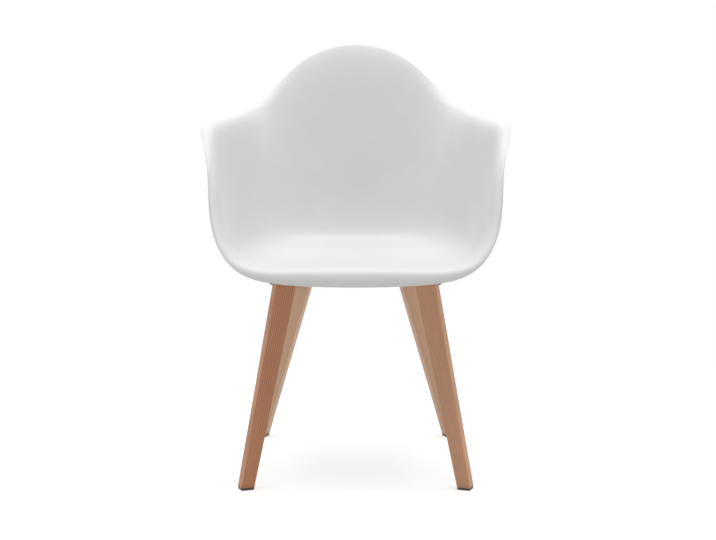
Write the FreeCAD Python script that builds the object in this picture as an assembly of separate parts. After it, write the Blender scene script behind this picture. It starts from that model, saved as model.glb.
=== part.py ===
import FreeCAD, Part

import math
import os

from FreeCAD import Vector

# A moulded plastic tub armchair on four tapered beech legs.
# Millimetres, +Z up, the front of the seat faces -Y.
# Right and left are as seen by someone who stands in front of the chair.
# The origin is on the floor, under the middle of the chair's bounding box.

# Shell: where the rim runs, measured from the middle of the seat
TOP_HEIGHT = 826.0        # rim at the middle of the back
BACK_REACH = 270.0
LIP_HEIGHT = 410.0        # rim at the middle of the front
FRONT_REACH = 280.0
ARM_HEIGHT = 682.0        # rim at the tip of the arm
ARM_HALF_WIDTH = 302.0
ARM_TIP_REACH = 77.0      # how far the arm tip is in front of the seat middle
EDGE_FLARE = 30.0         # how far the edge flares out past the wall at the arms
EDGE_RISE = 28.0          # how far the edge climbs above the wall at the back
WALL = 4.5

# Shell: the sitting pan
PAN_HALF_WIDTH = 244.0
PAN_FRONT = 190.0         # from the pan's own middle to its front bend
PAN_BACK = 221.0
PAN_MIDDLE_Y = -35.0
PAN_HEIGHT = 419.0        # bend line of the pan at the sides
PAN_DIP = 5.0             # how much lower the middle of the pan is
PAN_FRONT_RISE = 25.0
PAN_BACK_RISE = 6.0
PAN_SQUARENESS = 0.77     # power of the pan's outline, 1 is an ellipse
LEVEL_MIDDLE_Y = -10.0    # middle of the level part of the seat

# Shell: how far the wall bulges out between the pan and the rim
FRONT_BELLY = 10.0
SIDE_BELLY = 5.0
BACK_BELLY = -6.0         # the back is hollowed instead
FRONT_BELLY_LIFT = 9.0

# Bosses moulded on the underside and what screws into them
FRONT_BOSS_X = 85.0
FRONT_BOSS_Y = -90.0
REAR_BOSS_X = 62.0
REAR_BOSS_Y = 78.0
BOSS_RADIUS = 14.0
BOSS_STAND = 7.5          # how far a boss stands below the level part of the seat
SEAT_OVER_INSERT = 3.5    # plastic left above an insert
INSERT_FLATS = 9.0        # across the flats of the hexagonal body
THREAD_RADIUS = 3.0
SPACER_RADIUS = 12.0
SPACER_THICKNESS = 3.0
FIT = 0.05                # room round an insert or a pin
BOLT_ROOM = 0.4           # radial room round a bolt in a plate or tube
CUT_PAST = 1.0            # how far a cut runs past what it cuts

# Steel under-frame
RAIL_WIDTH = 20.0
RAIL_HEIGHT = 12.0
RAIL_WALL = 1.5
RAIL_BEHIND_LEG = 28.0    # from the middle of a leg's top to the side rail's end
RAIL_PAST_FRONT_LEG = 6.0 # how much further out the rail's end is than that middle
RAIL_PAST_REAR_LEG = 5.0
CROSS_RAIL_WIDTH = 25.0
CAP_THICKNESS = 2.0
CAP_TONGUE = 10.0

# Legs
LEG_TOP_DROP = 5.0        # how far a leg ends below the top of the rails
LEG_THICKNESS = 24.0
LEG_WIDTH_TOP = 42.0
LEG_WIDTH_FOOT = 27.0
LEG_TURN = 22.0           # degrees that the leg's section is turned in plan
LEG_EDGE_RADIUS = 2.5
FRONT_TOP_X = 138.0
FRONT_TOP_Y = -140.0
FRONT_FOOT_X = 214.0
FRONT_FOOT_Y = -221.0
REAR_TOP_X = 97.0
REAR_TOP_Y = 120.0
REAR_FOOT_X = 201.0
REAR_FOOT_Y = 209.0

# Leg brackets and their bolts
BRACKET_THICKNESS = 3.0
BRACKET_WIDTH = 26.0
BRACKET_DROP = 47.0       # from the underside of the rails to the bracket's low end
TAB_LENGTH = 34.0
LOW_BOLT_DROP = 35.0      # from the underside of the rails to each bolt
HIGH_BOLT_DROP = 15.0
LEG_INSERT_FLATS = 9.0
LEG_INSERT_LENGTH = 14.0

# Fasteners
HEAD_FLATS = 10.0
HEAD_HEIGHT = 4.0
BOLT_TIP = 1.0            # how far a bolt stops short of its insert's end

# Glides under the legs
GLIDE_HEIGHT = 5.0
GLIDE_INSET = 0.6
GLIDE_CHAMFER = 0.8
PIN_RADIUS = 1.5
PIN_LENGTH = 16.0
PIN_DEPTH = 3.0           # how much of the pin sits in the glide
PIN_END_ROOM = 1.0        # room above a pin in the leg's hole

# Worked out from the sizes above
BOSS_FACE_HEIGHT = PAN_HEIGHT - PAN_DIP - WALL - BOSS_STAND
INSERT_LENGTH = BOSS_STAND + WALL - SEAT_OVER_INSERT
RAIL_TOP = BOSS_FACE_HEIGHT - SPACER_THICKNESS
RAIL_BOTTOM = RAIL_TOP - RAIL_HEIGHT
LEG_TOP_HEIGHT = RAIL_TOP - LEG_TOP_DROP

# Shares of the way from the middle of the seat (0) to the rim (1)
LEVEL_SHARE = 0.2         # the seat is level up to here
NEAR = 0.01               # step for measuring the wall's directions
EDGE_CUT = 0.3            # how much of the wall each rounded rim corner takes


def rim_stations():
    """Half the rim, front middle to back middle: x, y, z, how far the edge
    flares out past the wall, and how far the wall's top stands above the rim.

    The rows hold shares: of the half width; of the way along and up from the front
    middle to the arm's tip or from there to the back middle; of flare; of rise."""
    front_rows = (
        (0.0, 0.0, 0.0, -0.1, 0.75),
        (0.371, 0.005, 0.011, -0.1, 0.714),
        (0.735, 0.059, 0.099, 0.1, 0.429),
        (0.904, 0.246, 0.412, 0.4, 0.071),
        (0.94, 0.532, 0.783, 0.667, 0.107),
        (1.0, 1.0, 1.0, 0.967, 0.5),
    )
    back_rows = (
        (0.957, 0.323, 0.056, 1.0, 0.393),
        (0.828, 0.64, 0.069, 0.8, 0.214),
        (0.629, 0.885, 0.257, 0.633, -0.214),
        (0.364, 0.986, 0.764, 0.567, -0.714),
        (0.0, 1.0, 1.0, 0.6, -1.0),
    )
    stations = []
    for rows, from_y, to_y, from_z, to_z in (
        (front_rows, -FRONT_REACH, -ARM_TIP_REACH, LIP_HEIGHT, ARM_HEIGHT),
        (back_rows, -ARM_TIP_REACH, BACK_REACH, ARM_HEIGHT, TOP_HEIGHT),
    ):
        for across, along, up, flare, rise in rows:
            y = from_y + (to_y - from_y) * along
            z = from_z + (to_z - from_z) * up
            stations.append((ARM_HALF_WIDTH * across, y, z, EDGE_FLARE * flare, EDGE_RISE * rise))
    return stations


HALF_RIM = rim_stations()
STATIONS = 2 * (len(HALF_RIM) - 1)


def meridian(station, index):
    """Eight control points from the middle of the seat out to one rim station."""
    x, y, z, flare, rise = station
    angle = 2 * math.pi * index / STATIONS
    side = math.sin(angle) ** PAN_SQUARENESS if index < STATIONS // 2 else 0.0
    along = math.copysign(abs(math.cos(angle)) ** PAN_SQUARENESS, -math.cos(angle))
    front = max(math.cos(angle), 0.0) ** 2
    back = max(-math.cos(angle), 0.0) ** 2
    reach = PAN_FRONT if along < 0 else PAN_BACK
    middle = Vector(0, LEVEL_MIDDLE_Y, PAN_HEIGHT - PAN_DIP)
    bend = Vector(
        PAN_HALF_WIDTH * side,
        PAN_MIDDLE_Y + reach * along,
        PAN_HEIGHT + PAN_FRONT_RISE * front + PAN_BACK_RISE * back,
    )
    rim = Vector(x, y, z)
    out = Vector(x, y - PAN_MIDDLE_Y, 0).normalize()
    crest = rim - out * flare + Vector(0, 0, rise)
    belly = out * (FRONT_BELLY * front + SIDE_BELLY * (1 - front - back) + BACK_BELLY * back)
    belly += Vector(0, 0, FRONT_BELLY_LIFT * front)
    low = bend + (crest - bend) * 0.34 + belly
    high = bend + (crest - bend) * 0.7 + belly
    rings = [middle]
    for share in (1 / 3, 2 / 3):
        flat = middle + (bend - middle) * share
        flat.z = middle.z
        rings.append(flat)
    return rings + [bend, low, high, crest, rim]


def through(values):
    """Weights of a closed even cubic curve that passes through the values,
    found by rounds that each bring the curve three times as near."""
    count = len(values)
    weights = list(values)
    rounds = 60
    for _ in range(rounds):
        weights = [
            (values[i] * 6 - weights[i - 1] - weights[(i + 1) % count]) * 0.25
            for i in range(count)
        ]
    return weights


def shell_rings():
    """The eight control rings of the shell, each a closed curve's weights."""
    half = [meridian(s, i) for i, s in enumerate(HALF_RIM)]
    around = half + [
        [Vector(-p.x, p.y, p.z) for p in line] for line in reversed(half[1:-1])
    ]
    return [through([line[k] for line in around]) for k in range(len(half[0]))]


def closed_value(weights, place):
    """A point of a closed even cubic curve; place counts stations."""
    count = len(weights)
    i = math.floor(place)
    t = place - i
    parts = (
        (1 - t) ** 3,
        3 * t**3 - 6 * t**2 + 4,
        3 * (t - t * t) * t + 3 * t + 1,
        t**3,
    )
    point = Vector()
    for k, part in enumerate(parts):
        point += weights[(i + k - 1) % count] * (part / 6)
    return point


def bspline_basis(knots, degree, k, t):
    """Value at t of the k-th basis function over the knots."""
    if degree == 0:
        last = t == knots[-1] and knots[k] < t == knots[k + 1]
        return 1.0 if knots[k] <= t < knots[k + 1] or last else 0.0
    value = 0.0
    rise = knots[k + degree] - knots[k]
    fall = knots[k + degree + 1] - knots[k + 1]
    if rise > 0:
        value += (t - knots[k]) / rise * bspline_basis(knots, degree - 1, k, t)
    if fall > 0:
        value += (knots[k + degree + 1] - t) / fall * bspline_basis(knots, degree - 1, k + 1, t)
    return value


RINGS = shell_rings()
RING_KNOTS = [0.0] * 4 + [k / 5 for k in range(1, 5)] + [1.0] * 4
PLACES = STATIONS         # points that each ring of the wall runs through
PLACE_KNOTS = [float(k) for k in range(PLACES + 1)]
HALVES = ((0, PLACES // 2), (PLACES // 2, PLACES))


def disc_point(u, v):
    """Sitting surface over a flat disc: the middle is the seat, the edge the rim."""
    r = min(math.hypot(u, v), 1.0)
    place = math.atan2(u, -v) / (2 * math.pi) * STATIONS
    point = Vector()
    for k, ring in enumerate(RINGS):
        share = bspline_basis(RING_KNOTS, 3, k, r)
        if share:
            point += closed_value(ring, place) * share
    return point


def outward(u, v):
    """Unit normal that points away from the sitter."""
    u, v = u * (1 - NEAR), v * (1 - NEAR)
    step = NEAR / 2
    du = disc_point(u + step, v) - disc_point(u - step, v)
    dv = disc_point(u, v + step) - disc_point(u, v - step)
    return dv.cross(du).normalize()


def wall_ring(share, depth, reach=0.0):
    """Weights of a closed curve in the wall: at a share of the way to the rim,
    a depth below the sitting surface and a reach past the rim."""
    points = []
    for i in range(PLACES):
        angle = 2 * math.pi * i / PLACES
        u = share * math.sin(angle)
        v = -share * math.cos(angle)
        point = disc_point(u, v) + outward(u, v) * depth
        if share == LEVEL_SHARE:
            point.z = PAN_HEIGHT - PAN_DIP - depth
        inside = disc_point(u * (1 - NEAR), v * (1 - NEAR))
        points.append(point + (disc_point(u, v) - inside).normalize() * reach)
    return through(points)


def level_disc(ring):
    """Flat face inside a ring that is level all round."""
    edges = []
    for start, end in HALVES:
        edge = Part.BSplineCurve()
        edge.buildFromPolesMultsKnots(ring, [1] * len(PLACE_KNOTS), PLACE_KNOTS, True, 3)
        edge.segment(start, end)
        edges.append(edge.toShape())
    return Part.Face(Part.Wire(edges))


def bands(rings):
    """Half strips of wall from each ring to the next, straight across."""
    strips = []
    for near, far in zip(rings, rings[1:]):
        poles = [[a, b] for a, b in zip(near, far)]
        counts = [1] * len(PLACE_KNOTS)
        for start, end in HALVES:
            strip = Part.BSplineSurface()
            strip.buildFromPolesMultsKnots(
                poles, counts, [2, 2], PLACE_KNOTS, [0.0, 1.0], True, False, 3, 1
            )
            strip.segment(start, end, 0, 1)
            strips.append(strip.toShape())
    return strips


def ring_shares():
    """Where the wall's rings run: close together where the wall bends."""
    shares = [LEVEL_SHARE]
    for end, count in ((0.3, 1), (0.48, 8), (0.62, 2), (0.88, 3), (0.94, 2), (1.0, 7)):
        start = shares[-1]
        shares += [start + (end - start) * (k + 1) / count for k in range(count)]
    return shares


def shell_blank():
    """The moulded wall: two skins of bands, joined by a rounded rim."""
    sitting, under = ([wall_ring(s, depth) for s in ring_shares()] for depth in (0.0, WALL))
    corner = WALL * EDGE_CUT
    rim = [sitting[-1], wall_ring(1.0, corner, corner)]
    rim += [wall_ring(1.0, WALL - corner, corner), under[-1]]
    faces = [level_disc(sitting[0]), level_disc(under[0])]
    for rings in (sitting, under, rim):
        faces += bands(rings)
    skin = Part.makeCompound(faces)
    skin.sewShape()
    solid = Part.Solid(skin.Shells[0])
    if solid.Volume < 0:
        solid.reverse()
    return solid


def boss_places():
    front = [(s * FRONT_BOSS_X, FRONT_BOSS_Y) for s in (-1, 1)]
    rear = [(s * REAR_BOSS_X, REAR_BOSS_Y) for s in (-1, 1)]
    return front + rear


def rod(radius, base, height, direction=Vector(0, 0, 1)):
    return Part.makeCylinder(radius, height, base, direction)


def tube(outer, inner, base, height, direction=Vector(0, 0, 1)):
    return rod(outer, base, height, direction).cut(rod(inner, base, height, direction))


def hexagon_bar(flats, base, height, direction=Vector(0, 0, 1)):
    """Hexagonal prism with a corner turned towards a horizontal line."""
    level = direction.cross(Vector(0, 1, 0)).normalize()
    other = direction.cross(level)
    radius = flats / math.sqrt(3)
    corners = []
    for k in range(7):
        angle = math.radians(60 * k)
        corners.append(base + (level * math.cos(angle) + other * math.sin(angle)) * radius)
    return Part.Face(Part.makePolygon(corners)).extrude(direction * height)


def threaded_insert(flats, base, height, direction=Vector(0, 0, 1)):
    """Brass insert: a hexagonal body that can't turn, with a threaded bore."""
    body = hexagon_bar(flats, base, height, direction)
    return body.cut(rod(THREAD_RADIUS, base, height, direction))


def seat_shell():
    """Wall with four round bosses that end in flat faces for the spacers."""
    shell = shell_blank()
    height = BOSS_STAND + WALL / 2
    for x, y in boss_places():
        shell = shell.fuse(rod(BOSS_RADIUS, Vector(x, y, BOSS_FACE_HEIGHT), height))
    for x, y in boss_places():
        place = Vector(x, y, BOSS_FACE_HEIGHT)
        shell = shell.cut(hexagon_bar(INSERT_FLATS + 2 * FIT, place, INSERT_LENGTH))
    return shell


def shell_inserts():
    return [
        threaded_insert(INSERT_FLATS, Vector(x, y, BOSS_FACE_HEIGHT), INSERT_LENGTH)
        for x, y in boss_places()
    ]


def rubber_spacers():
    return [
        tube(
            SPACER_RADIUS,
            THREAD_RADIUS + BOLT_ROOM,
            Vector(x, y, BOSS_FACE_HEIGHT - SPACER_THICKNESS),
            SPACER_THICKNESS,
        )
        for x, y in boss_places()
    ]


def bar(start, end, width, grow=0.0, extra=0.0):
    """Rectangular bar between two points in plan, at the rails' height."""
    along = (end - start).normalize()
    across = Vector(-along.y, along.x, 0) * (width / 2 - grow)
    a = start - along * extra
    b = end + along * extra
    low = RAIL_BOTTOM + grow
    corners = [a - across, b - across, b + across, a + across]
    outline = [Vector(p.x, p.y, low) for p in corners]
    face = Part.Face(Part.makePolygon(outline + outline[:1]))
    return face.extrude(Vector(0, 0, RAIL_HEIGHT - 2 * grow))


def side_rail_ends():
    front = Vector(FRONT_TOP_X + RAIL_PAST_FRONT_LEG, FRONT_TOP_Y + RAIL_BEHIND_LEG, 0)
    rear = Vector(REAR_TOP_X + RAIL_PAST_REAR_LEG, REAR_TOP_Y - RAIL_BEHIND_LEG, 0)
    return front, rear


def side_rail():
    start, end = side_rail_ends()
    hollow = bar(start, end, RAIL_WIDTH, RAIL_WALL, CUT_PAST)
    return bar(start, end, RAIL_WIDTH).cut(hollow)


def cross_rail(y, boss_x):
    """Tube between the side rails, mitred to them, drilled for two shell bolts."""
    first, last = side_rail_ends()
    start = Vector(-first.x, y, 0)
    end = Vector(first.x, y, 0)
    hollow = bar(start, end, CROSS_RAIL_WIDTH, RAIL_WALL, CUT_PAST)
    rail = bar(start, end, CROSS_RAIL_WIDTH).cut(hollow)
    beside = bar(first, last, RAIL_WIDTH, 0.0, RAIL_WIDTH)
    rail = rail.cut(beside).cut(mirrored(beside))
    rail = min(rail.Solids, key=lambda s: abs(s.CenterOfMass.x))
    for x in (-boss_x, boss_x):
        base = Vector(x, y, RAIL_BOTTOM - CUT_PAST)
        rail = rail.cut(rod(THREAD_RADIUS + BOLT_ROOM, base, RAIL_HEIGHT + 2 * CUT_PAST))
    return rail


def mirrored(shape):
    return shape.mirror(Vector(0, 0, 0), Vector(1, 0, 0))


def rail_caps():
    """Plastic plugs in the two ends of the right-hand side rail."""
    start, end = side_rail_ends()
    along = (end - start).normalize()
    caps = []
    for place, way in ((start, -along), (end, along)):
        head = bar(place, place + way * CAP_THICKNESS, RAIL_WIDTH)
        inner = place - way * CAP_TONGUE
        tongue = bar(inner, place, RAIL_WIDTH, RAIL_WALL + FIT)
        caps.append(head.fuse(tongue).removeSplitter())
    return caps


def hexagon_bolt(base, direction, length):
    """Bolt: base is the underside of the head, direction the shank's way."""
    head = hexagon_bar(HEAD_FLATS, base - direction * HEAD_HEIGHT, HEAD_HEIGHT, direction)
    return head.fuse(rod(THREAD_RADIUS - FIT, base, length, direction)).removeSplitter()


def shell_bolts():
    length = BOSS_FACE_HEIGHT - RAIL_BOTTOM + INSERT_LENGTH - BOLT_TIP
    up = Vector(0, 0, 1)
    return [hexagon_bolt(Vector(x, y, RAIL_BOTTOM), up, length) for x, y in boss_places()]


class Leg:
    """Where one right-hand leg stands and how its section is turned."""

    def __init__(self, top, foot, facing):
        self.top = top
        self.foot = foot
        turn = math.radians(LEG_TURN)
        self.width_way = Vector(math.cos(turn), facing * math.sin(turn), 0)
        self.back_way = Vector(math.sin(turn), -facing * math.cos(turn), 0)

    def middle(self, z):
        return self.foot + (self.top - self.foot) * (z / self.top.z)

    def width(self, z):
        return LEG_WIDTH_FOOT + (LEG_WIDTH_TOP - LEG_WIDTH_FOOT) * z / self.top.z

    def outline(self, z, inset=0.0):
        """Rounded rectangle, level, at height z."""
        r = LEG_EDGE_RADIUS
        wide = self.width(z) / 2 - inset - r
        deep = LEG_THICKNESS / 2 - inset - r
        corners = []
        for k, (s, t) in enumerate(((1, 1), (-1, 1), (-1, -1), (1, -1))):
            centre = self.middle(z) + self.width_way * (s * wide) + self.back_way * (t * deep)
            corner = []
            for angle in (90 * k, 90 * k + 45, 90 * k + 90):
                across = self.width_way * (r * math.cos(math.radians(angle)))
                corner.append(centre + across + self.back_way * (r * math.sin(math.radians(angle))))
            corners.append(corner)
        edges = []
        for corner, after in zip(corners, corners[1:] + corners[:1]):
            edges.append(Part.Arc(*corner).toShape())
            edges.append(Part.LineSegment(corner[-1], after[0]).toShape())
        return Part.Wire(edges)

    def face_normal(self):
        """Normal of the sloping face that carries the bracket."""
        lean = (self.top - self.foot).normalize()
        normal = self.width_way.cross(lean).normalize()
        return normal if normal.dot(self.back_way) > 0 else -normal

    def face_point(self, z):
        return self.middle(z) + self.back_way * (LEG_THICKNESS / 2)

    def bolt_points(self):
        return [self.face_point(RAIL_BOTTOM - drop) for drop in (LOW_BOLT_DROP, HIGH_BOLT_DROP)]


FRONT_LEG = Leg(
    Vector(FRONT_TOP_X, FRONT_TOP_Y, LEG_TOP_HEIGHT),
    Vector(FRONT_FOOT_X, FRONT_FOOT_Y, 0),
    -1,
)
REAR_LEG = Leg(
    Vector(REAR_TOP_X, REAR_TOP_Y, LEG_TOP_HEIGHT),
    Vector(REAR_FOOT_X, REAR_FOOT_Y, 0),
    1,
)


def leg_blank(leg):
    """Plain tapered timber between the glide and the top, cut level at both ends."""
    return Part.makeLoft([leg.outline(GLIDE_HEIGHT), leg.outline(LEG_TOP_HEIGHT)], True, True)


def leg_timber(leg):
    """The timber with two pockets for inserts and a hole for the glide's pin."""
    timber = leg_blank(leg)
    inward = -leg.face_normal()
    for point in leg.bolt_points():
        pocket = hexagon_bar(LEG_INSERT_FLATS + 2 * FIT, point, LEG_INSERT_LENGTH, inward)
        timber = timber.cut(pocket)
    depth = PIN_LENGTH - PIN_DEPTH + PIN_END_ROOM
    return timber.cut(rod(PIN_RADIUS + FIT, leg.middle(GLIDE_HEIGHT), depth))


def leg_inserts(leg):
    inward = -leg.face_normal()
    return [
        threaded_insert(LEG_INSERT_FLATS, point, LEG_INSERT_LENGTH, inward)
        for point in leg.bolt_points()
    ]


def leg_bracket(leg):
    """Steel angle: a sloping plate against the leg and a level tab under the rail."""
    normal = leg.face_normal()
    side = leg.width_way * (BRACKET_WIDTH / 2)
    low = leg.face_point(RAIL_BOTTOM - BRACKET_DROP)
    high = leg.face_point(RAIL_BOTTOM)
    corners = [low - side, low + side, high + side, high - side]
    plate = Part.Face(Part.makePolygon(corners + corners[:1]))
    plate = plate.extrude(leg.back_way * (BRACKET_THICKNESS / normal.dot(leg.back_way)))
    heel = leg.face_point(RAIL_BOTTOM - BRACKET_THICKNESS)
    reach = leg.back_way * TAB_LENGTH
    corners = [heel - side, heel + side, heel + side + reach, heel - side + reach]
    tab = Part.Face(Part.makePolygon(corners + corners[:1]))
    tab = tab.extrude(Vector(0, 0, BRACKET_THICKNESS)).cut(leg_blank(leg))
    bracket = plate.fuse(tab).removeSplitter()
    for point in leg.bolt_points():
        start = point - normal * BRACKET_THICKNESS
        drill = rod(THREAD_RADIUS + BOLT_ROOM, start, 3 * BRACKET_THICKNESS, normal)
        bracket = bracket.cut(drill)
    return bracket


def leg_bolts(leg):
    normal = leg.face_normal()
    length = BRACKET_THICKNESS + LEG_INSERT_LENGTH - BOLT_TIP
    return [
        hexagon_bolt(point + normal * BRACKET_THICKNESS, -normal, length)
        for point in leg.bolt_points()
    ]


def glide(leg):
    """Plastic pad that follows the end of the leg and stands on the floor."""
    pad = Part.Face(leg.outline(GLIDE_HEIGHT, GLIDE_INSET)).extrude(Vector(0, 0, -GLIDE_HEIGHT))
    under = [e for e in pad.Edges if e.BoundBox.ZMax < GLIDE_CHAMFER / 2]
    pad = pad.makeChamfer(GLIDE_CHAMFER, under)
    base = leg.middle(GLIDE_HEIGHT) - Vector(0, 0, PIN_DEPTH)
    return pad.cut(rod(PIN_RADIUS + FIT, base, PIN_DEPTH))


def glide_pin(leg):
    return rod(PIN_RADIUS, leg.middle(GLIDE_HEIGHT) - Vector(0, 0, PIN_DEPTH), PIN_LENGTH)


def both_sides(shapes):
    return shapes + [mirrored(s) for s in shapes]


def all_nodes():
    nodes = {"seat_shell": [seat_shell()]}
    nodes["shell_inserts"] = shell_inserts()
    nodes["rubber_spacers"] = rubber_spacers()
    rail = side_rail()
    nodes["frame_side_rail_right"] = [rail]
    nodes["frame_side_rail_left"] = [mirrored(rail)]
    nodes["frame_cross_rail_front"] = [cross_rail(FRONT_BOSS_Y, FRONT_BOSS_X)]
    nodes["frame_cross_rail_rear"] = [cross_rail(REAR_BOSS_Y, REAR_BOSS_X)]
    nodes["rail_end_caps"] = both_sides(rail_caps())
    nodes["shell_bolts"] = shell_bolts()
    for group in ("leg_bolts", "leg_inserts", "glide_pins"):
        nodes[group] = []
    for name, leg in (("front", FRONT_LEG), ("rear", REAR_LEG)):
        for piece, maker in (("leg", leg_timber), ("leg_bracket", leg_bracket), ("glide", glide)):
            shape = maker(leg)
            nodes[f"{piece}_{name}_right"] = [shape]
            nodes[f"{piece}_{name}_left"] = [mirrored(shape)]
        nodes["leg_bolts"] += both_sides(leg_bolts(leg))
        nodes["leg_inserts"] += both_sides(leg_inserts(leg))
        nodes["glide_pins"] += both_sides([glide_pin(leg)])
    return nodes


def main():
    os.makedirs("parts", exist_ok=True)
    nodes = all_nodes()
    box = nodes["seat_shell"][0].optimalBoundingBox(False, False)
    to_middle = Vector(0, -(box.YMin + box.YMax) / 2, 0)
    for name, solids in nodes.items():
        for solid in solids:
            solid.translate(to_middle)
        shape = solids[0] if len(solids) == 1 else Part.makeCompound(solids)
        shape.exportStep(os.path.join("parts", name + ".step"))


main()
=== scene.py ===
import math

import bmesh
import bpy
import numpy as np
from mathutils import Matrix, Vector


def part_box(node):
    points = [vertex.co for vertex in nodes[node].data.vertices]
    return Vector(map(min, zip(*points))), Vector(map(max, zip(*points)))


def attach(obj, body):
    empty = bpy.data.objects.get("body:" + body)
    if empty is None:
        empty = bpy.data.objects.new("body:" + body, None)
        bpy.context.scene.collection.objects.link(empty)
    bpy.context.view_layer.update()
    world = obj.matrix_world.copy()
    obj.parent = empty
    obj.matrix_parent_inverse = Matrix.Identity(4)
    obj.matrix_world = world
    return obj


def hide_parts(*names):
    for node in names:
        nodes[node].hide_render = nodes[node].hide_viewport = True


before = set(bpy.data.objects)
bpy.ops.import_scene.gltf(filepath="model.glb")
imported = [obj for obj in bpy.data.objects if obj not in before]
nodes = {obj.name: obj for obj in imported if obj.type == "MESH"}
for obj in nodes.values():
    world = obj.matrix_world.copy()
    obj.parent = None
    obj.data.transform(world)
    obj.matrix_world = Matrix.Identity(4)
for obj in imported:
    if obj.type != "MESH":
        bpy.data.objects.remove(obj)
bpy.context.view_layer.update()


# The seat shell: seat, back and arms moulded in one wall of white polypropylene and
# rolled outwards all round. It has no seam, and its edge is rounded off by hand.

WALL = 0.0045
TOP = 0.826
BACK_REACH = 0.270
LIP = 0.410
FRONT_REACH = 0.280
ARM = 0.682
ARM_HALF_WIDTH = 0.302
ARM_TIP_REACH = 0.077
EDGE_FLARE = 0.030
EDGE_RISE = 0.028
PAN_HALF_WIDTH = 0.244
PAN_FRONT = 0.190
PAN_BACK = 0.221
PAN_MIDDLE_Y = -0.035
PAN_HEIGHT = 0.419
PAN_DIP = 0.005
DIP_BEHIND_MIDDLE = 0.025
PAN_FRONT_RISE = 0.025
PAN_BACK_RISE = 0.006
PAN_SQUARENESS = 0.77
FRONT_BELLY = 0.010
FRONT_BELLY_DRAW = 0.011
FRONT_BELLY_LIFT = 0.009
SIDE_BELLY = 0.005
BACK_BELLY_DRAW = 0.006
FLAT_SHARES = (1 / 3, 2 / 3)
LOW_SHARE = 0.34
HIGH_SHARE = 0.70
LIP_REACH = 0.0010
LIP_ROUNDNESS = 0.7
LIP_STEPS = 8
JUST_INSIDE_EDGE = 0.99
NORMAL_STEP = 0.0005
AROUND = 216


def rim_stations():
    """Half the rim, front middle to back middle: x, y, z, how far the edge flares
    past the wall, and how far the wall's top stands above the rim. The rows hold
    shares of the half width, of the way along and up, of flare and of rise."""
    front_rows = (
        (0.0, 0.0, 0.0, 0.13, 0.74),
        (0.371, 0.005, 0.011, 0.12, 0.70),
        (0.735, 0.059, 0.099, 0.14, 0.429),
        (0.904, 0.246, 0.412, 0.4, 0.071),
        (0.94, 0.532, 0.783, 0.667, 0.107),
        (1.0, 1.0, 1.0, 0.967, 0.5),
    )
    back_rows = (
        (0.957, 0.323, 0.056, 1.0, 0.393),
        (0.828, 0.64, 0.069, 0.8, 0.214),
        (0.629, 0.885, 0.257, 0.633, -0.214),
        (0.364, 0.986, 0.764, 0.567, -0.714),
        (0.0, 1.0, 1.0, 0.6, -1.0),
    )
    places = []
    for rows, from_y, to_y, from_z, to_z in (
        (front_rows, -FRONT_REACH, -ARM_TIP_REACH, LIP, ARM),
        (back_rows, -ARM_TIP_REACH, BACK_REACH, ARM, TOP),
    ):
        for across, along, up, flare, rise in rows:
            y = from_y + (to_y - from_y) * along
            z = from_z + (to_z - from_z) * up
            places.append((ARM_HALF_WIDTH * across, y, z, EDGE_FLARE * flare, EDGE_RISE * rise))
    return places


def meridian(place, index, last):
    """Eight control points from the middle of the seat out to one rim station."""
    x, y, z, flare, rise = place
    angle = math.pi * index / last
    side = max(math.sin(angle), 0.0) ** PAN_SQUARENESS if index < last else 0.0
    along = math.copysign(abs(math.cos(angle)) ** PAN_SQUARENESS, -math.cos(angle))
    front = max(math.cos(angle), 0.0) ** 2
    back = max(-math.cos(angle), 0.0) ** 2
    reach = PAN_FRONT if along < 0 else PAN_BACK
    middle = Vector((0, PAN_MIDDLE_Y + DIP_BEHIND_MIDDLE, PAN_HEIGHT - PAN_DIP))
    bend = Vector((
        PAN_HALF_WIDTH * side,
        PAN_MIDDLE_Y + reach * along,
        PAN_HEIGHT + PAN_FRONT_RISE * front + PAN_BACK_RISE * back,
    ))
    rim = Vector((x, y, z))
    out = Vector((x, y - PAN_MIDDLE_Y, 0)).normalized()
    crest = rim - out * flare + Vector((0, 0, rise))
    belly = out * (
        FRONT_BELLY * front - FRONT_BELLY_DRAW * front**2
        + SIDE_BELLY * (1 - front - back) - BACK_BELLY_DRAW * back
    )
    belly += Vector((0, 0, FRONT_BELLY_LIFT * front))
    low, high = (bend + (crest - bend) * share + belly for share in (LOW_SHARE, HIGH_SHARE))
    flats = [middle + (bend - middle) * share for share in FLAT_SHARES]
    for flat in flats:
        flat.z = middle.z
    return [middle, *flats, bend, low, high, crest, rim]


half_rim = rim_stations()
half = [meridian(place, i, len(half_rim) - 1) for i, place in enumerate(half_rim)]
mirror = [[Vector((-p.x, p.y, p.z)) for p in line] for line in reversed(half[1:-1])]
stations = np.array([[list(p) for p in line] for line in half + mirror])
count = len(stations)

# A closed cubic spline round the shell passes through every station.
passing = np.zeros((count, count))
for i in range(count):
    for step, share in ((-1, 1 / 6), (0, 4 / 6), (1, 1 / 6)):
        passing[i, (i + step) % count] += share
rings = np.linalg.solve(passing, stations.reshape(count, -1)).reshape(stations.shape)
ring_knots = [0.0] * 4 + [0.2, 0.4, 0.6, 0.8] + [1.0] * 4


def closed_shares(t):
    """Shares of four neighbouring control points at t on the closed cubic spline."""
    return np.array([(1 - t) ** 3, 3 * t**3 - 6 * t**2 + 4, 3 * (t + t * t - t**3) + 1, t**3]) / 6


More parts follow.
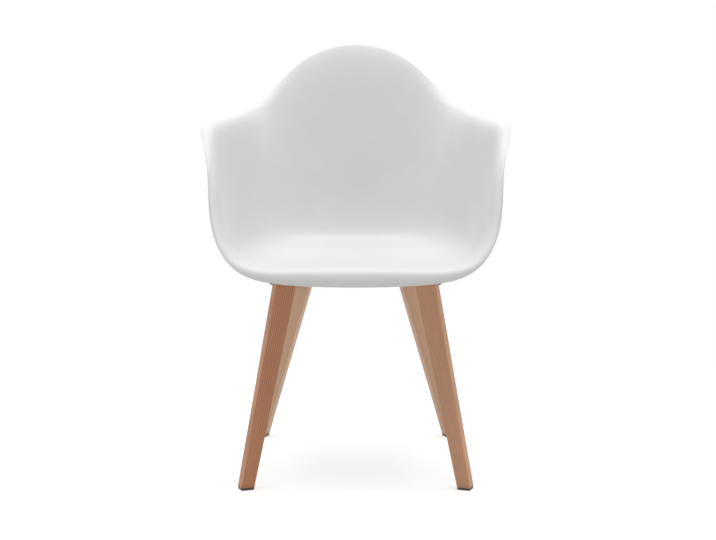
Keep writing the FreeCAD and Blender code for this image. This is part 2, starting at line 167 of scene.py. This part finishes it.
def clamped_share(k, degree, t):
    """Share of control point k at t on the cubic spline from the middle to the rim."""
    if degree == 0:
        at_end = t == ring_knots[-1] and ring_knots[k] < t == ring_knots[k + 1]
        return 1.0 if ring_knots[k] <= t < ring_knots[k + 1] or at_end else 0.0
    share = 0.0
    rising = ring_knots[k + degree] - ring_knots[k]
    falling = ring_knots[k + degree + 1] - ring_knots[k + 1]
    if rising > 0:
        share += (t - ring_knots[k]) / rising * clamped_share(k, degree - 1, t)
    if falling > 0:
        share += (ring_knots[k + degree + 1] - t) / falling * clamped_share(k + 1, degree - 1, t)
    return share


def shell_points(shares):
    """Points of the sitting surface: one ring of AROUND points for each share of
    the way from the middle of the seat to the rim."""
    across = np.array([[clamped_share(k, 3, r) for k in range(rings.shape[1])] for r in shares])
    around = np.zeros((AROUND, count))
    for a in range(AROUND):
        place = a * count / AROUND
        start = math.floor(place)
        for k, share in enumerate(closed_shares(place - start)):
            around[a, (start + k - 1) % count] += share
    return np.einsum("rk,as,skc->rac", across, around, rings)


def shell_normals(shares):
    """Unit normals of the sitting surface, away from the sitter."""
    out = shell_points([min(r + NORMAL_STEP, 1.0) for r in shares])
    back = shell_points([max(r - NORMAL_STEP, 0.0) for r in shares])
    middle = shell_points(shares)
    ahead = np.roll(middle, -1, axis=1) - np.roll(middle, 1, axis=1)
    normal = np.cross(out - back, ahead)
    normal /= np.linalg.norm(normal, axis=2, keepdims=True)
    return normal * np.sign(-normal[0, 0, 2])


def ring_mesh(name, loops, first_middle, last_middle):
    """Closed mesh of quads between loops of points, with a fan at either end."""
    verts = [tuple(p) for loop in loops for p in loop]
    n = len(loops[0])
    faces = []
    for j in range(len(loops) - 1):
        for i in range(n):
            a, b = j * n + i, j * n + (i + 1) % n
            faces.append((a, b, b + n, a + n))
    for middle, row, turned in ((first_middle, 0, True), (last_middle, len(loops) - 1, False)):
        tip = len(verts)
        verts.append(tuple(middle))
        for i in range(n):
            a, b = row * n + i, row * n + (i + 1) % n
            faces.append((b, a, tip) if turned else (a, b, tip))
    mesh = bpy.data.meshes.new(name)
    mesh.from_pydata(verts, [], faces)
    work = bmesh.new()
    work.from_mesh(mesh)
    bmesh.ops.recalc_face_normals(work, faces=work.faces)
    work.to_mesh(mesh)
    work.free()
    for face in mesh.polygons:
        face.use_smooth = True
    piece = bpy.data.objects.new(name, mesh)
    bpy.context.scene.collection.objects.link(piece)
    return piece


# The rings lie close together where the wall bends into the back and at the lip.
ring_runs = (
    (0.04, 0.26, 6), (0.28, 0.52, 16), (0.55, 0.85, 11), (0.865, 0.94, 7), (0.947, 1.0, 15),
)
shares = [float(r) for low, high, n in ring_runs for r in np.linspace(low, high, n)]
inner = shell_points(shares)
outer = inner + shell_normals(shares) * WALL

# The cut edge is rounded between the two faces of the wall.
edge_way = shell_points([1.0])[0] - shell_points([JUST_INSIDE_EDGE])[0]
edge_way /= np.linalg.norm(edge_way, axis=1, keepdims=True)
lip = []
for k in range(1, LIP_STEPS):
    angle = math.pi * k / LIP_STEPS
    depth = (1 - math.copysign(abs(math.cos(angle)) ** LIP_ROUNDNESS, math.cos(angle))) / 2
    reach = math.sin(angle) ** LIP_ROUNDNESS * LIP_REACH
    lip.append(inner[-1] + (outer[-1] - inner[-1]) * depth + edge_way * reach)

# The shell is moved back until it ends where the frame's shell ends.
loops = [*inner, *lip, *outer[::-1]]
seat_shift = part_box("seat_shell")[1][1] - max(loop[:, 1].max() for loop in loops)
seat_middle = shell_points([0.0])[0, 0]
shell = ring_mesh("moulded_shell", loops, seat_middle, seat_middle - np.array([0, 0, WALL]))
for vert in shell.data.vertices:
    vert.co.y += seat_shift


def socket(tree, name, kind, way, default=None):
    """One named input or output of a node group."""
    item = tree.interface.new_socket(name=name, in_out=way, socket_type=kind)
    if default is not None:
        item.default_value = default


def node(tree, kind, place, values=None, **settings):
    """A node with its place on the sheet, its settings and its plain inputs."""
    made = tree.nodes.new(kind)
    made.location = place
    for key, value in settings.items():
        setattr(made, key, value)
    for key, value in (values or {}).items():
        made.inputs[key].default_value = value
    return made


def wire(tree, *rows):
    """Joins nodes. Each row is a node, its output, the next node and its input."""
    for giver, output, taker, entry in rows:
        tree.links.new(giver.outputs[output], taker.inputs[entry])


# Every maker's surface here has an uneven skin: a fine mould or lacquer texture, and
# broad soft patches where it has been wiped and handled.
skin = bpy.data.node_groups.new("uneven skin", "ShaderNodeTree")
socket(skin, "Place", "NodeSocketVector", "INPUT")
socket(skin, "Grain per metre", "NodeSocketFloat", "INPUT", 900.0)
socket(skin, "Patches per metre", "NodeSocketFloat", "INPUT", 7.0)
socket(skin, "Grain", "NodeSocketFloat", "OUTPUT")
socket(skin, "Patches", "NodeSocketFloat", "OUTPUT")
given = node(skin, "NodeGroupInput", (-600, 0))
result = node(skin, "NodeGroupOutput", (300, 0))
grain = node(skin, "ShaderNodeTexNoise", (-300, 150), {"Detail": 3.0, "Roughness": 0.55})
patches = node(skin, "ShaderNodeTexNoise", (-300, -150), {"Detail": 4.0, "Roughness": 0.6})
wire(
    skin,
    (given, "Place", grain, "Vector"),
    (given, "Place", patches, "Vector"),
    (given, "Grain per metre", grain, "Scale"),
    (given, "Patches per metre", patches, "Scale"),
    (grain, "Fac", result, "Grain"),
    (patches, "Fac", result, "Patches"),
)


SHADE_STOPS = (0.35, 0.65)
ROUGH_STOPS = (0.3, 0.7)


def surface(name, shades, roughness, grain_scale, bump, metallic=0.0, patch_scale=7.0):
    """A finish with the uneven skin. Its patches run between two shades of one colour
    and between two roughnesses, and its grain is a bump given in metres."""
    made = bpy.data.materials.new(name)
    made.use_nodes = True
    tree = made.node_tree
    shader = tree.nodes["Principled BSDF"]
    shader.inputs["Metallic"].default_value = metallic
    where = node(tree, "ShaderNodeTexCoord", (-1100, 0))
    uneven = node(
        tree, "ShaderNodeGroup", (-850, 0),
        {"Grain per metre": grain_scale, "Patches per metre": patch_scale}, node_tree=skin,
    )
    ramp = node(tree, "ShaderNodeValToRGB", (-550, 150))
    for stop, position, shade in zip(ramp.color_ramp.elements, SHADE_STOPS, shades):
        stop.position = position
        stop.color = (*shade, 1)
    rough = node(
        tree, "ShaderNodeMapRange", (-550, -150),
        {
            "From Min": ROUGH_STOPS[0], "From Max": ROUGH_STOPS[1],
            "To Min": roughness[0], "To Max": roughness[1],
        },
    )
    texture = node(tree, "ShaderNodeBump", (-300, -350), {"Distance": bump})
    wire(
        tree,
        (where, "Object", uneven, "Place"),
        (uneven, "Patches", ramp, "Fac"),
        (ramp, "Color", shader, "Base Color"),
        (uneven, "Patches", rough, "Value"),
        (rough, "Result", shader, "Roughness"),
        (uneven, "Grain", texture, "Height"),
        (texture, "Normal", shader, "Normal"),
    )
    return made


POLYPROPYLENE_IOR = 1.49
white_plastic = surface(
    "white moulded polypropylene", ((0.775, 0.775, 0.765), (0.805, 0.805, 0.795)),
    roughness=(0.30, 0.38), grain_scale=1300.0, bump=0.000005,
)
white_plastic.node_tree.nodes["Principled BSDF"].inputs["IOR"].default_value = POLYPROPYLENE_IOR
shell.data.materials.append(white_plastic)
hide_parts("seat_shell")
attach(shell, "root")


# Four plain round bosses moulded under the seat, each with a small radius at its
# root. They end in flat faces for the rubber rings; the brass inserts sit in them.

BOSS_RADIUS = 0.014
BOSS_FACE = 0.402
BOSS_HEIGHT = 0.0095
BOSS_SIDES = 64
BOSS_PLACES = ((-0.085, -0.090), (0.085, -0.090), (-0.062, 0.078), (0.062, 0.078))
ROOT_REACH = 0.0025
ROOT_HEIGHT = 0.004


def sketch(name, verts, edges=()):
    """Points or lines for a geometry tree to work on."""
    mesh = bpy.data.meshes.new(name)
    mesh.from_pydata([tuple(v) for v in verts], list(edges), [])
    piece = bpy.data.objects.new(name, mesh)
    bpy.context.scene.collection.objects.link(piece)
    return piece


def geometry_tree(name, inputs):
    """Empty geometry tree with its first and last node and its named inputs."""
    made = bpy.data.node_groups.new(name, "GeometryNodeTree")
    socket(made, "Geometry", "NodeSocketGeometry", "INPUT")
    for label, kind, default in inputs:
        socket(made, label, kind, "INPUT", default)
    socket(made, "Geometry", "NodeSocketGeometry", "OUTPUT")
    return made, node(made, "NodeGroupInput", (-900, 0)), node(made, "NodeGroupOutput", (900, 0))


def made_real(tree, placed, given, result, smooth):
    """Ends a tree: its instances become real, shaded pieces in the given finish."""
    real = node(tree, "GeometryNodeRealizeInstances", (350, 0))
    shaded = node(tree, "GeometryNodeSetShadeSmooth", (500, 0), {"Shade Smooth": smooth})
    coated = node(tree, "GeometryNodeSetMaterial", (700, 0))
    wire(
        tree,
        (placed, "Instances", real, "Geometry"),
        (real, "Geometry", shaded, "Geometry"),
        (shaded, "Geometry", coated, "Geometry"),
        (given, "Finish", coated, "Material"),
        (coated, "Geometry", result, "Geometry"),
    )


def grown(piece, growth_tree, values):
    """Runs a geometry tree on a piece and keeps the result as its plain mesh."""
    growth = piece.modifiers.new(growth_tree.name, "NODES")
    growth.node_group = growth_tree
    for item in growth_tree.interface.items_tree:
        if item.item_type == "SOCKET" and item.in_out == "INPUT" and item.name in values:
            growth[item.identifier] = values[item.name]
    bpy.context.view_layer.update()
    seen_by = bpy.context.evaluated_depsgraph_get()
    done = bpy.data.meshes.new_from_object(piece.evaluated_get(seen_by))
    piece.modifiers.remove(growth)
    piece.data = done
    return piece


boss_tree, given, result = geometry_tree("moulded bosses", (
    ("Radius", "NodeSocketFloat", BOSS_RADIUS),
    ("Height", "NodeSocketFloat", BOSS_HEIGHT),
    ("Root reach", "NodeSocketFloat", ROOT_REACH),
    ("Root height", "NodeSocketFloat", ROOT_HEIGHT),
    ("Finish", "NodeSocketMaterial", None),
))
stud = node(boss_tree, "GeometryNodeMeshCone", (-500, 200), {"Vertices": BOSS_SIDES})
root = node(boss_tree, "GeometryNodeMeshCone", (-500, -200), {"Vertices": BOSS_SIDES})
root_radius = node(boss_tree, "ShaderNodeMath", (-700, -300), operation="ADD")
root_start = node(boss_tree, "ShaderNodeMath", (-700, -500), operation="SUBTRACT")
root_lift = node(boss_tree, "ShaderNodeCombineXYZ", (-500, -500))
raised = node(boss_tree, "GeometryNodeTransform", (-250, -200))
boss = node(boss_tree, "GeometryNodeJoinGeometry", (-50, 100))
placed = node(boss_tree, "GeometryNodeInstanceOnPoints", (150, 0))
wire(
    boss_tree,
    (given, "Radius", stud, "Radius Bottom"),
    (given, "Radius", stud, "Radius Top"),
    (given, "Height", stud, "Depth"),
    (given, "Radius", root_radius, 0),
    (given, "Root reach", root_radius, 1),
    (given, "Radius", root, "Radius Bottom"),
    (root_radius, "Value", root, "Radius Top"),
    (given, "Root height", root, "Depth"),
    (given, "Height", root_start, 0),
    (given, "Root height", root_start, 1),
    (root_start, "Value", root_lift, "Z"),
    (root, "Mesh", raised, "Geometry"),
    (root_lift, "Vector", raised, "Translation"),
    (stud, "Mesh", boss, "Geometry"),
    (raised, "Geometry", boss, "Geometry"),
    (given, "Geometry", placed, "Points"),
    (boss, "Geometry", placed, "Instance"),
)
made_real(boss_tree, placed, given, result, smooth=False)
boss_points = [(x, y + seat_shift, BOSS_FACE) for x, y in BOSS_PLACES]
bosses = grown(sketch("seat_bosses", boss_points), boss_tree, {"Finish": white_plastic})
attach(bosses, "root")


# The legs: solid beech, planed to a taper, edges eased with a router, set splayed
# and turned a little outwards. Clear matt lacquer over the open grain.

LEG_TURN = math.radians(22)
EDGE_RADIUS = 0.0025
EDGE_STEPS = 5
LEG_RINGS = 48
CORNERS = ((1, 1), (-1, 1), (-1, -1), (1, -1))
NEXT_BOARD = (0.37, 0.11, 0.7)
SAME_PLACE = 1e-5
END_GRAIN_TILT = 0.9


def leg_ways(sideways, facing):
    """The level directions across a leg's width and across its depth."""
    width_way = Vector((sideways * math.cos(LEG_TURN), facing * math.sin(LEG_TURN), 0))
    return width_way, Vector((-width_way.y, width_way.x, 0))


def span(points, way):
    """Middle and half length of what the points cover in one direction."""
    along = [p.dot(way) for p in points]
    return (max(along) + min(along)) / 2, (max(along) - min(along)) / 2


def leg_piece(name, node_name, sideways, facing, board, painted_light):
    """Tapered timber between the end outlines of the frame's leg. Its points keep
    their place in the board it was cut from, and a share of painted light that makes the leg paler."""
    width_way, depth_way = leg_ways(sideways, facing)
    points = [v.co.copy() for v in nodes[node_name].data.vertices]
    ends = []
    for z in (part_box(node_name)[0][2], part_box(node_name)[1][2]):
        level = [p for p in points if abs(p.z - z) < SAME_PLACE]
        (across, wide), (through, deep) = span(level, width_way), span(level, depth_way)
        ends.append((width_way * across + depth_way * through + Vector((0, 0, z)), wide, deep))
    (foot, foot_wide, foot_deep), (head, head_wide, head_deep) = ends
    cut_from = [step * board for step in NEXT_BOARD]
    loops, marks = [], []
    for j in range(LEG_RINGS + 1):
        share = j / LEG_RINGS
        centre = foot.lerp(head, share)
        wide = foot_wide + (head_wide - foot_wide) * share
        deep = foot_deep + (head_deep - foot_deep) * share
        loop = []
        for corner, (side, face) in enumerate(CORNERS):
            for k in range(EDGE_STEPS + 1):
                angle = math.pi / 2 * (corner + k / EDGE_STEPS)
                a = side * (wide - EDGE_RADIUS) + EDGE_RADIUS * math.cos(angle)
                b = face * (deep - EDGE_RADIUS) + EDGE_RADIUS * math.sin(angle)
                loop.append(centre + width_way * a + depth_way * b)
                marks.append((a + cut_from[0], b + cut_from[1], centre.z + cut_from[2]))
        loops.append(loop)
    marks += [(cut_from[0], cut_from[1], end.z + cut_from[2]) for end in (foot, head)]
    piece = ring_mesh(name, loops, foot, head)
    fibre = piece.data.attributes.new("fibre", "FLOAT_VECTOR", "POINT")
    fibre.data.foreach_set("vector", [c for mark in marks for c in mark])
    # Painted light: this share mixes a paler wood colour in, standing in for the bounce light and
    # sheen the leg catches.
    pale = piece.data.attributes.new("painted_light", "FLOAT", "POINT")
    pale.data.foreach_set("value", [painted_light] * len(marks))
    for face in piece.data.polygons:
        face.use_smooth = abs(face.normal.z) <= END_GRAIN_TILT
    return piece


beech = bpy.data.materials.new("lacquered beech")
beech.use_nodes = True
tree = beech.node_tree
wood = tree.nodes["Principled BSDF"]
fibre_place = node(tree, "ShaderNodeAttribute", (-1700, 0), attribute_name="fibre")
# Reads each leg's share of painted light: how much paler, lit-looking wood colour is painted onto it.
painted_light_share = node(tree, "ShaderNodeAttribute", (-750, 600), attribute_name="painted_light")


def drawn_out(scale, height):
    """The place in the board, drawn out along the grain by its three scales."""
    mapping = node(tree, "ShaderNodeMapping", (-1500, height), {"Scale": scale})
    wire(tree, (fibre_place, "Vector", mapping, "Vector"))
    return mapping


def grain_noise(mapping, height, detail):
    """Uneven streaks along the grain, as fine as the mapping draws them."""
    noise = node(tree, "ShaderNodeTexNoise", (-1300, height), {"Scale": 1.0, "Detail": detail})
    wire(tree, (mapping, "Vector", noise, "Vector"))
    return noise


def tinted(place, blend_type, tint):
    """Lays a colour over the wood, as far as its Factor says."""
    return node(
        tree, "ShaderNodeMix", place, {"B": (*tint, 1)}, data_type="RGBA", blend_type=blend_type,
    )


growth_place = drawn_out((34.0, 20.0, 2.6), 250)
growth = grain_noise(growth_place, 250, 2.0)
threads = grain_noise(drawn_out((700.0, 700.0, 16.0), 0), 0, 3.0)
rays = grain_noise(drawn_out((1100.0, 1100.0, 190.0), -250), -250, 1.0)
bands = node(
    tree, "ShaderNodeTexWave", (-1050, 350), {"Scale": 2.2, "Distortion": 3.2, "Detail": 2.0},
    wave_type="BANDS", bands_direction="X",
)
heartwood = node(tree, "ShaderNodeValToRGB", (-800, 350))
heartwood.color_ramp.elements[0].color = (0.56, 0.246, 0.123, 1)
heartwood.color_ramp.elements[1].color = (0.70, 0.330, 0.175, 1)
thread_depth = node(
    tree, "ShaderNodeMapRange", (-1050, 0), {"From Min": 0.38, "From Max": 0.68, "To Max": 0.22},
)
ray_depth = node(
    tree, "ShaderNodeMapRange", (-1050, -250), {"From Min": 0.66, "From Max": 0.76, "To Max": 0.6},
)
broad = tinted((-550, 350), "MULTIPLY", (0.86, 0.82, 0.78))
# Painted light: a paler, less saturated wood colour that stands in for bounce light and sheen on the
# legs.
painted_light_tint = tinted((-420, 500), "MIX", (0.84, 0.56, 0.37))
threaded = tinted((-300, 300), "MULTIPLY", (0.70, 0.60, 0.50))
flecked = tinted((-60, 250), "MIX", (0.22, 0.105, 0.05))
sheen = node(tree, "ShaderNodeMapRange", (-60, -50), {"To Min": 0.42, "To Max": 0.56})
pores = node(tree, "ShaderNodeBump", (-60, -300), {"Distance": 0.00008})
wire(
    tree,
    (growth_place, "Vector", bands, "Vector"),
    (bands, "Fac", heartwood, "Fac"),
    (heartwood, "Color", broad, "A"),
    (growth, "Fac", broad, "Factor"),
    (broad, "Result", painted_light_tint, "A"),
    (painted_light_share, "Fac", painted_light_tint, "Factor"),
    (painted_light_tint, "Result", threaded, "A"),
    (threads, "Fac", thread_depth, "Value"),
    (thread_depth, "Result", threaded, "Factor"),
    (threaded, "Result", flecked, "A"),
    (rays, "Fac", ray_depth, "Value"),
    (ray_depth, "Result", flecked, "Factor"),
    (flecked, "Result", wood, "Base Color"),
    (threads, "Fac", sheen, "Value"),
    (sheen, "Result", wood, "Roughness"),
    (threads, "Fac", pores, "Height"),
    (pores, "Normal", wood, "Normal"),
)

# The last number for each leg is painted light: the rear legs, and the front right leg a little, are
# painted paler where more light falls on them.
for board, (end, hand, sideways, facing, painted_light) in enumerate((
    ("front", "right", 1, -1, 0.3),
    ("front", "left", -1, -1, 0.0),
    ("rear", "right", 1, 1, 0.7),
    ("rear", "left", -1, 1, 0.85),
), start=1):
    name = f"leg_{end}_{hand}"
    leg = leg_piece(f"beech_{name}", name, sideways, facing, board, painted_light)
    leg.data.materials.append(beech)
    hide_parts(f"leg_{end}_{hand}")
    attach(leg, "root")


# The under-frame: square-cut steel tube and folded steel angles, powder coated matt
# black after welding, with moulded plugs in the open tube ends.

STEEL_EASE = 0.0005
PLUG_EASE = 0.0004
SHARP_EDGE = math.radians(40)
black_coat = surface(
    "black powder coat", ((0.018, 0.018, 0.019), (0.026, 0.026, 0.027)),
    roughness=(0.42, 0.55), grain_scale=2200.0, bump=0.00006,
)
black_plug = surface(
    "black moulded plug", ((0.020, 0.020, 0.020), (0.030, 0.030, 0.029)),
    roughness=(0.50, 0.62), grain_scale=1500.0, bump=0.00004,
)


def dress(node_name, finish, ease=0.0):
    """Gives a node of the frame its finish and, where ease says so, eased edges."""
    piece = nodes[node_name]
    piece.data.materials.clear()
    piece.data.materials.append(finish)
    weld = piece.modifiers.new("join the facets", "WELD")
    weld.merge_threshold = SAME_PLACE
    if ease:
        bevel = piece.modifiers.new("eased edges", "BEVEL")
        bevel.width = ease
        bevel.segments = 2
        bevel.limit_method = "ANGLE"
        bevel.angle_limit = SHARP_EDGE


for name in nodes:
    if name.startswith(("frame_", "leg_bracket_")):
        dress(name, black_coat, STEEL_EASE)
dress("rail_end_caps", black_plug, PLUG_EASE)


# The weld beads: short runs of overlapping coins round both ends of each cross rail
# and along the side rails over the bracket tabs, under the same powder coat.

BEAD_RADIUS = 0.0013
BEAD_PITCH = 0.0011
SEAM_STEPS = 400


def corner_of(points, y, z, hand):
    """The furthest point at a corner of a rail's section, towards one side."""
    there = [p for p in points if abs(p.y - y) < SAME_PLACE and abs(p.z - z) < SAME_PLACE]
    return max(there, key=lambda p: hand * p.x)


def tab_seams(rail_points, bracket_points, sideways, facing):
    """Where the two lower edges of a side rail lie on a bracket's level tab."""
    level = max(p.z for p in bracket_points)
    tab = [p for p in bracket_points if abs(p.z - level) < SAME_PLACE]
    room = []
    for way in leg_ways(sideways, facing):
        middle, half_length = span(tab, way)
        room.append((way, middle, half_length - BEAD_RADIUS))
    low = min(p.z for p in rail_points)
    corners = {(round(p.x, 5), round(p.y, 5)) for p in rail_points if abs(p.z - low) < SAME_PLACE}
    by_end = sorted(corners, key=lambda c: c[1])
    seams = []
    for start, end in zip(sorted(by_end[:2]), sorted(by_end[-2:])):
        start, end = Vector((*start, level)), Vector((*end, level))
        steps = [start.lerp(end, k / SEAM_STEPS) for k in range(SEAM_STEPS + 1)]
        on_tab = [p for p in steps if all(abs(p.dot(way) - mid) < far for way, mid, far in room)]
        if len(on_tab) > 1:
            seams.append((on_tab[0], on_tab[-1]))
    return seams


weld_tree, given, result = geometry_tree("weld beads", (
    ("Bead radius", "NodeSocketFloat", BEAD_RADIUS),
    ("Pitch", "NodeSocketFloat", BEAD_PITCH),
    ("Seed", "NodeSocketInt", 5),
    ("Finish", "NodeSocketMaterial", None),
))
line = node(weld_tree, "GeometryNodeMeshToCurve", (-600, 0))
even = node(weld_tree, "GeometryNodeResampleCurve", (-400, 0), mode="LENGTH")
bead = node(weld_tree, "GeometryNodeMeshIcoSphere", (-400, -300), {"Subdivisions": 2})
sizes = node(
    weld_tree, "FunctionNodeRandomValue", (-400, -500),
    {"Min": (0.88, 0.88, 0.85), "Max": (1.12, 1.12, 1.10)}, data_type="FLOAT_VECTOR",
)
placed = node(weld_tree, "GeometryNodeInstanceOnPoints", (0, 0))
wire(
    weld_tree,
    (given, "Geometry", line, "Mesh"),
    (line, "Curve", even, "Curve"),
    (given, "Pitch", even, "Length"),
    (given, "Bead radius", bead, "Radius"),
    (given, "Seed", sizes, "Seed"),
    (even, "Curve", placed, "Points"),
    (bead, "Mesh", placed, "Instance"),
    (sizes, "Value", placed, "Scale"),
)
made_real(weld_tree, placed, given, result, smooth=True)

seam_points, seam_lines = [], []
for end in ("front", "rear"):
    points = [v.co.copy() for v in nodes[f"frame_cross_rail_{end}"].data.vertices]
    (_, near, low), (_, far, high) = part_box(f"frame_cross_rail_{end}")
    for hand in (-1, 1):
        first = len(seam_points)
        for y, z in ((near, low), (far, low), (far, high), (near, high)):
            seam_points.append(corner_of(points, y, z, hand))
        seam_lines += [(first + k, first + (k + 1) % 4) for k in range(4)]
    for hand, sideways in (("right", 1), ("left", -1)):
        rail_points = [v.co.copy() for v in nodes[f"frame_side_rail_{hand}"].data.vertices]
        tab_points = [v.co.copy() for v in nodes[f"leg_bracket_{end}_{hand}"].data.vertices]
        for seam in tab_seams(rail_points, tab_points, sideways, -1 if end == "front" else 1):
            seam_lines.append((len(seam_points), len(seam_points) + 1))
            seam_points += seam
welds = grown(sketch("weld_beads", seam_points, seam_lines), weld_tree, {"Finish": black_coat})
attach(welds, "root")


# The rubber rings between the shell's bosses and the rails: black rubber, squeezed by
# the bolts, that keeps the steel off the plastic.

RUBBER_EASE = 0.0004
soft_rubber = surface(
    "black rubber", ((0.022, 0.022, 0.022), (0.034, 0.033, 0.032)),
    roughness=(0.70, 0.82), grain_scale=1800.0, bump=0.00005,
)
dress("rubber_spacers", soft_rubber, RUBBER_EASE)


# The fixings: zinc-plated hexagon bolts through rails and brackets, brass inserts set
# in the bosses and the legs, and plain steel pins that join the glides to the legs.

zinc = surface(
    "zinc plate", ((0.56, 0.57, 0.58), (0.66, 0.66, 0.66)),
    roughness=(0.26, 0.42), grain_scale=900.0, bump=0.00002, metallic=1.0, patch_scale=90.0,
)
brass = surface(
    "turned brass", ((0.60, 0.44, 0.20), (0.70, 0.53, 0.27)),
    roughness=(0.28, 0.40), grain_scale=900.0, bump=0.00002, metallic=1.0, patch_scale=90.0,
)
for name in ("shell_bolts", "leg_bolts", "glide_pins"):
    dress(name, zinc)
for name in ("shell_inserts", "leg_inserts"):
    dress(name, brass)


# The glides: moulded pads of hard dark plastic, held under the feet by steel pins, so
# that the chair stands on plastic and not on end grain.

dark_plastic = surface(
    "dark moulded glide", ((0.060, 0.050, 0.043), (0.085, 0.072, 0.062)),
    roughness=(0.45, 0.60), grain_scale=1500.0, bump=0.00005,
)
for name in nodes:
    if name.startswith("glide_") and name != "glide_pins":
        dress(name, dark_plastic)


# The studio: a plain pale floor that runs out into a white backdrop, one wide soft
# light overhead and a weaker one on either side.

FLOOR_HALF = 30
FLOOR_SHADE = 0.80
FLOOR_GLOW = 0.50
FADE_FROM = 0.6
FADE_TO = 1.4
ROOM_LIGHT = 0.38
BACKDROP_LIGHT = 1.0
WHITE = (1.0, 1.0, 1.0, 1)

floor_mesh = bpy.data.meshes.new("studio_floor")
floor_corners = [(x * FLOOR_HALF, y * FLOOR_HALF, 0) for x, y in ((-1, -1), (1, -1), (1, 1), (-1, 1))]
floor_mesh.from_pydata(floor_corners, [], [(0, 1, 2, 3)])
floor = bpy.data.objects.new("studio_floor", floor_mesh)
bpy.context.scene.collection.objects.link(floor)


def seen_rays(tree):
    """1 for what the camera sees straight, in gloss or through glass, and 0 for light
    that falls on the chair."""
    path = node(tree, "ShaderNodeLightPath", (-900, -100))
    straight_or_gloss = node(tree, "ShaderNodeMath", (-700, -100), operation="MAXIMUM")
    seen = node(tree, "ShaderNodeMath", (-500, -100), operation="MAXIMUM")
    wire(
        tree,
        (path, "Is Camera Ray", straight_or_gloss, 0),
        (path, "Is Glossy Ray", straight_or_gloss, 1),
        (straight_or_gloss, "Value", seen, 0),
        (path, "Is Transmission Ray", seen, 1),
    )
    return seen


pale = bpy.data.materials.new("pale studio floor")
pale.use_nodes = True
tree = pale.node_tree
tree.nodes.clear()
seen = seen_rays(tree)
matt = node(tree, "ShaderNodeBsdfDiffuse", (-300, 100), {"Color": (FLOOR_SHADE,) * 3 + (1,)})
level = node(tree, "ShaderNodeMath", (-400, -250), {1: FLOOR_GLOW}, operation="MULTIPLY")
glow = node(tree, "ShaderNodeEmission", (-300, -100))
lit = node(tree, "ShaderNodeAddShader", (-100, 0))
nothing = node(tree, "ShaderNodeBsdfTransparent", (-100, -150))
where = node(tree, "ShaderNodeTexCoord", (-900, 300))
away = node(tree, "ShaderNodeVectorMath", (-700, 300), operation="LENGTH")
edge = node(
    tree, "ShaderNodeMapRange", (-500, 300), {"From Min": FADE_FROM, "From Max": FADE_TO},
    interpolation_type="SMOOTHSTEP",
)
far = node(tree, "ShaderNodeMath", (-300, 300), operation="MULTIPLY")
fade = node(tree, "ShaderNodeMixShader", (100, 0))
end = node(tree, "ShaderNodeOutputMaterial", (300, 0))
wire(
    tree,
    (seen, "Value", level, 0),
    (level, "Value", glow, "Strength"),
    (matt, "BSDF", lit, 0),
    (glow, "Emission", lit, 1),
    (where, "Object", away, "Vector"),
    (away, "Value", edge, "Value"),
    (edge, "Result", far, 0),
    (seen, "Value", far, 1),
    (far, "Value", fade, "Fac"),
    (lit, "Shader", fade, 1),
    (nothing, "BSDF", fade, 2),
    (fade, "Shader", end, "Surface"),
)
floor.data.materials.append(pale)

world = bpy.data.worlds.new("studio")
bpy.context.scene.world = world
world.use_nodes = True
tree = world.node_tree
tree.nodes.clear()
room = node(tree, "ShaderNodeBackground", (-300, 100), {"Color": WHITE, "Strength": ROOM_LIGHT})
backdrop = node(
    tree, "ShaderNodeBackground", (-300, -100), {"Color": WHITE, "Strength": BACKDROP_LIGHT},
)
choose = node(tree, "ShaderNodeMixShader", (-100, 0))
end = node(tree, "ShaderNodeOutputWorld", (100, 0))
wire(
    tree,
    (seen_rays(tree), "Value", choose, "Fac"),
    (room, "Background", choose, 1),
    (backdrop, "Background", choose, 2),
    (choose, "Shader", end, "Surface"),
)


def softbox(name, place, size, watts):
    """A square soft light turned to the middle of the chair."""
    lamp = bpy.data.lights.new(name, "AREA")
    lamp.shape = "SQUARE"
    lamp.size = size
    lamp.energy = watts
    stand = bpy.data.objects.new(name, lamp)
    stand.location = place
    chair_middle = Vector((0, 0, 0.5))
    stand.rotation_euler = (chair_middle - Vector(place)).to_track_quat("-Z", "Y").to_euler()
    bpy.context.scene.collection.objects.link(stand)


softbox("overhead softbox", (0.0, 0.0, 3.2), 2.6, 60)
softbox("left softbox", (-2.6, 0.3, 2.0), 1.8, 13)
softbox("right softbox", (2.6, 0.3, 2.0), 1.8, 15)


# The camera: on a tripod in front of the chair, a little above its back and tipped
# down, with the chair as large in the frame as in the photograph.

CAMERA_DISTANCE = 4.5
CAMERA_HEIGHT = 1.18
CAMERA_TILT = math.radians(9.9)
IMAGE_WIDTH = 716
FOCAL_PIXELS = 2274
CHAIR_LEFT_OF_MIDDLE = 2.3
camera = bpy.data.cameras.new("camera")
camera.sensor_width = 36.0
camera.lens = camera.sensor_width * FOCAL_PIXELS / IMAGE_WIDTH
camera.shift_x = CHAIR_LEFT_OF_MIDDLE / IMAGE_WIDTH
tripod = bpy.data.objects.new("camera", camera)
tripod.location = (0, -CAMERA_DISTANCE, CAMERA_HEIGHT)
tripod.rotation_euler = (math.pi / 2 - CAMERA_TILT, 0, 0)
bpy.context.scene.collection.objects.link(tripod)
bpy.context.scene.camera = tripod
bpy.context.scene.view_settings.view_transform = "Standard"
